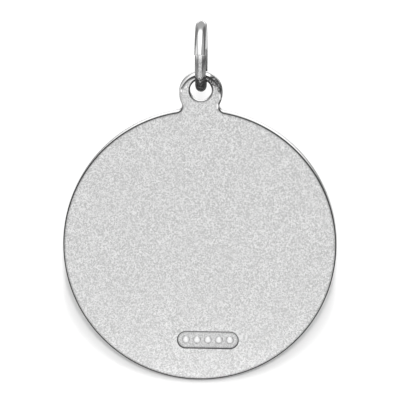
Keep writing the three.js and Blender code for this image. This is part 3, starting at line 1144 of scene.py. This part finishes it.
def studio():
    """White behind the object, and in its reflections a light tent with dark sides."""
    world = bpy.data.worlds.new("studio")
    world.use_nodes = True
    bpy.context.scene.world = world
    made = Nodes(world.node_tree)
    made.tree.nodes.clear()
    way = made.node("ShaderNodeTexCoord").outputs["Generated"]
    x, y, z = made.node("ShaderNodeSeparateXYZ", {"Vector": way}).outputs
    height = made.maths("ARCTAN2", z, made.times(y, -1.0))  # 0 in front, a half turn behind
    share = made.over(made.plus(height, math.pi / 2), 1.5 * math.pi)
    curve = made.node("ShaderNodeValToRGB", {"Fac": share})
    stops = curve.color_ramp.elements
    while len(stops) < len(STUDIO_HEIGHTS):
        stops.new(0.5)
    for stop, (place, value) in zip(stops, STUDIO_HEIGHTS):
        stop.position = (place + 90) / 270
        stop.color = (value, value, value, 1)
    # Darker walls at the left and right, and darker below the horizon behind.
    left = made.ramp(x, -0.62, -0.45, 0.52, 1)
    right = made.ramp(x, 0.42, 0.56, 1, 0.36)
    middle = made.times(curve.outputs["Color"], made.times(left, right))
    under = made.times(made.ramp(z, -0.06, 0.06, 1, 0), made.ramp(y, 0.5, 0.8, 0, 1))
    middle = made.times(middle, made.minus(1.0, made.times(under, 0.75)))
    # Two soft boxes: one at the far left, and one low behind.
    left_box = made.ramp(x, -0.97, -0.93, 0.45, 0)
    back_box = made.times(made.ramp(z, 0.0, 0.06, 0, 0.8), made.ramp(z, 0.27, 0.33, 1, 0))
    back_box = made.times(back_box, made.ramp(made.maths("ABSOLUTE", x), 0.28, 0.34, 1, 0))
    back_box = made.times(back_box, made.ramp(y, 0.0, 0.1, 0, 1))
    light = made.plus(middle, made.plus(left_box, back_box))
    # Plain white where the camera sees it.
    seen = made.node("ShaderNodeLightPath").outputs["Is Camera Ray"]
    strength = made.node("ShaderNodeMix", {"Factor": seen, "A": light, "B": 1.0}, data_type="FLOAT")
    fed = {"Color": (1, 1, 1, 1), "Strength": strength.outputs[0]}
    back = made.node("ShaderNodeBackground", fed)
    made.node("ShaderNodeOutputWorld", {"Surface": back.outputs[0]})


FLOOR_FRONT, FLOOR_BACK, FLOOR_SIDE = 0.022, 0.27, 0.12
FLOOR_CORNER, FLOOR_CORNER_STEPS = 0.02, 16
FLOOR_GAP = 0.0009
FLOOR_MIRRORED = 0.7  # how bright the metal mirrors it, as a share
FLOOR_LIGHT_Y = -0.591
FLOOR_LIGHTS = (  # above the camera, for the floor alone: height, width, own height and watts
    ("low_light", 0.097, 0.004, 0.011, 12),
    ("high_light", 0.131, 0.008, 0.054, 9),
)


def floor():
    """A pale sheet with round corners, just under the medal's lowest point."""
    mesh = bmesh.new()
    places = []
    for x, y, start in (
        (FLOOR_SIDE, FLOOR_BACK, 0),
        (-FLOOR_SIDE, FLOOR_BACK, 90),
        (-FLOOR_SIDE, -FLOOR_FRONT, 180),
        (FLOOR_SIDE, -FLOOR_FRONT, 270),
    ):
        middle = Vector((x - math.copysign(FLOOR_CORNER, x), y - math.copysign(FLOOR_CORNER, y)))
        turn = arc((0, 0), FLOOR_CORNER, start * DEGREE, (start + 90) * DEGREE, FLOOR_CORNER_STEPS)
        places += [middle + offset for offset, _ in turn]
    z = MEDAL_LOW.z - FLOOR_GAP
    mesh.faces.new([mesh.verts.new((place.x, place.y, z)) for place in places])
    data = bpy.data.meshes.new("floor")
    mesh.to_mesh(data)
    mesh.free()
    made = finished("floor", data, [floor_paint()])
    return made


def floor_paint():
    """Matt white board with a faint grain. The metal mirrors it a little darker than it is."""
    made = Finish("floor_paint")
    pale = Vector(colours().floor)
    grain = made.noise(0.8 * MM, detail=3)
    seen = made.node("ShaderNodeLightPath").outputs["Is Camera Ray"]
    tone = made.mix(made.vary(grain), colour(pale * 0.99), colour(pale))
    made.feed(made.mix(seen, colour(pale * FLOOR_MIRRORED), tone), made.shader.inputs["Base Color"])
    made.shader.inputs["Roughness"].default_value = 0.9
    made.shader.inputs["Emission Color"].default_value = (1, 1, 1, 1)
    far = made.coordinates((0, 0, 0))["Y"]
    glow = made.times(made.ramp(far, 0, 270, 0.08, 0.5), seen)
    made.feed(glow, made.shader.inputs["Emission Strength"])
    return made.material


# ---- The add-on's operators and panel ----


def add_piece(piece, body, slot, *nodes):
    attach(piece, body)
    if nodes:
        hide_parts(*nodes)


class PENDANT_OT_medal_blank(bpy.types.Operator):
    """Add the struck disc with its ear, its punched back and its sunk field"""

    bl_idname = "pendant.medal_blank"
    bl_label = "Medal blank"

    def execute(self, context):
        add_piece(medal_blank(), "medal", "satin_silver", "medal")
        return {"FINISHED"}


class PENDANT_OT_pips(bpy.types.Operator):
    """Add the row of pips in the back's punched bar"""

    bl_idname = "pendant.pips"
    bl_label = "Punch pips"

    def execute(self, context):
        add_piece(pips(), "medal", "satin_silver")
        return {"FINISHED"}


class PENDANT_OT_beads(bpy.types.Operator):
    """Add the string of beads round the field"""

    bl_idname = "pendant.beads"
    bl_label = "Beads"

    def execute(self, context):
        add_piece(beads(), "medal", "polished_silver")
        return {"FINISHED"}


class PENDANT_OT_rays(bpy.types.Operator):
    """Add the rays between the cross's arms"""

    bl_idname = "pendant.rays"
    bl_label = "Rays"

    def execute(self, context):
        add_piece(rays(), "medal", "polished_silver")
        return {"FINISHED"}


class PENDANT_OT_cross(bpy.types.Operator):
    """Add the cross with its sunk panel"""

    bl_idname = "pendant.cross"
    bl_label = "Cross"

    def execute(self, context):
        add_piece(cross(), "medal", "polished_silver")
        return {"FINISHED"}


class PENDANT_OT_jump_ring(bpy.types.Operator):
    """Add the wire ring that the medal hangs from"""

    bl_idname = "pendant.jump_ring"
    bl_label = "Jump ring"

    def execute(self, context):
        add_piece(jump_ring(), "ring", "polished_silver", "jump_ring")
        return {"FINISHED"}


class PENDANT_OT_stage(bpy.types.Operator):
    """Add the camera, the lights, the studio and the floor"""

    bl_idname = "pendant.stage"
    bl_label = "Stage"

    def execute(self, context):
        context.scene.view_settings.view_transform = "Standard"
        camera()
        studio()
        soft_light("key_light", KEY_PLACE, KEY_AIM, KEY_SIDE, KEY_SIDE, KEY_WATTS)
        lit = bpy.data.collections.new("lit_by_floor_lights")
        lit.objects.link(floor())
        for name, height, wide, tall, watts in FLOOR_LIGHTS:
            place = (CAMERA_DISTANCE * math.sin(CAMERA_AZIMUTH), FLOOR_LIGHT_Y, height)
            made = soft_light(name, place, (0, 0.02, MEDAL_LOW.z), wide, tall, watts)
            made.light_linking.receiver_collection = lit
        return {"FINISHED"}


class PENDANT_PT_panel(bpy.types.Panel):
    """The pendant's sizes, colours and pieces"""

    bl_idname = "PENDANT_PT_panel"
    bl_label = "Silver medal pendant"
    bl_space_type = "VIEW_3D"
    bl_region_type = "UI"
    bl_category = "Pendant"

    def draw(self, context):
        for operator in OPERATORS:
            self.layout.operator(operator.bl_idname)
        for name in GROUPS:
            group = getattr(context.scene, name)
            box = self.layout.box()
            for key in group.bl_rna.properties.keys():
                if key not in ("rna_type", "name"):
                    box.prop(group, key)


GROUPS = {
    "pendant_medal": MedalSizes,
    "pendant_relief": ReliefSizes,
    "pendant_ring": RingSizes,
    "pendant_colours": FinishColours,
}
OPERATORS = (
    PENDANT_OT_cross,
    PENDANT_OT_rays,
    PENDANT_OT_beads,
    PENDANT_OT_medal_blank,
    PENDANT_OT_pips,
    PENDANT_OT_jump_ring,
    PENDANT_OT_stage,
)


def register():
    for name, group in GROUPS.items():
        bpy.utils.register_class(group)
        setattr(bpy.types.Scene, name, PointerProperty(type=group))
    for operator in OPERATORS:
        bpy.utils.register_class(operator)
    bpy.utils.register_class(PENDANT_PT_panel)


def unregister():
    bpy.utils.unregister_class(PENDANT_PT_panel)
    for operator in reversed(OPERATORS):
        bpy.utils.unregister_class(operator)
    for name, group in reversed(GROUPS.items()):
        delattr(bpy.types.Scene, name)
        bpy.utils.unregister_class(group)


def main():
    register()
    bpy.ops.pendant.cross()
    bpy.ops.pendant.rays()
    bpy.ops.pendant.beads()
    bpy.ops.pendant.medal_blank()
    bpy.ops.pendant.pips()
    bpy.ops.pendant.jump_ring()
    bpy.ops.pendant.stage()


if __name__ == "__main__":
    main()
